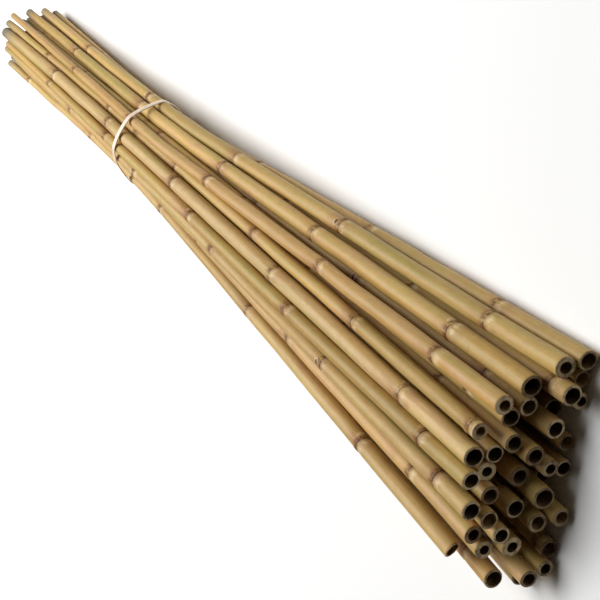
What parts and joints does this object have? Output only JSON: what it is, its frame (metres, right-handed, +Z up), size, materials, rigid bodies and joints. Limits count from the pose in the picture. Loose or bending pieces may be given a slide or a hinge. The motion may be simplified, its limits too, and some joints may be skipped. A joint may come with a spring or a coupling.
{
  "type": "bamboo cane bundle",
  "caption": "Tied bundle of hollow bamboo garden canes lying on the ground: fanned, sawn butt ends, ringed stems tapering to thin tips, and a flat plastic band that holds them.",
  "frame": {"origin": "on the ground, under the middle of the bundle's bounding box", "axes": "+X along the canes towards the sawn butt ends, +Y across the bundle, +Z up from the ground"},
  "size_m": [1.5374, 0.2402, 0.1011],
  "materials": {
    "bamboo": "dry straw-tan bamboo rind with a low waxy sheen, faint lengthwise streaks, brown joint rings and pale bands under them",
    "band": "off-white plastic strap with a soft sheen"
  },
  "bodies": {
    "root": {"cane_01": "bamboo", "cane_02": "bamboo", "cane_03": "bamboo", "cane_04": "bamboo", "cane_05": "bamboo", "cane_06": "bamboo", "cane_07": "bamboo", "cane_08": "bamboo", "cane_09": "bamboo", "cane_10": "bamboo", "cane_11": "bamboo", "cane_12": "bamboo", "cane_13": "bamboo", "cane_14": "bamboo", "cane_15": "bamboo", "cane_16": "bamboo", "cane_17": "bamboo", "cane_18": "bamboo", "cane_19": "bamboo", "cane_20": "bamboo", "cane_21": "bamboo", "cane_22": "bamboo", "cane_23": "bamboo", "cane_24": "bamboo", "cane_25": "bamboo", "cane_26": "bamboo", "cane_27": "bamboo", "cane_28": "bamboo", "cane_29": "bamboo", "cane_30": "bamboo", "cane_31": "bamboo", "cane_32": "bamboo", "cane_33": "bamboo", "cane_34": "bamboo", "cane_35": "bamboo", "cane_36": "bamboo", "cane_37": "bamboo", "cane_38": "bamboo", "cane_39": "bamboo", "cane_40": "bamboo", "cane_41": "bamboo", "band_tie": "band"}
  },
  "joints": []
}
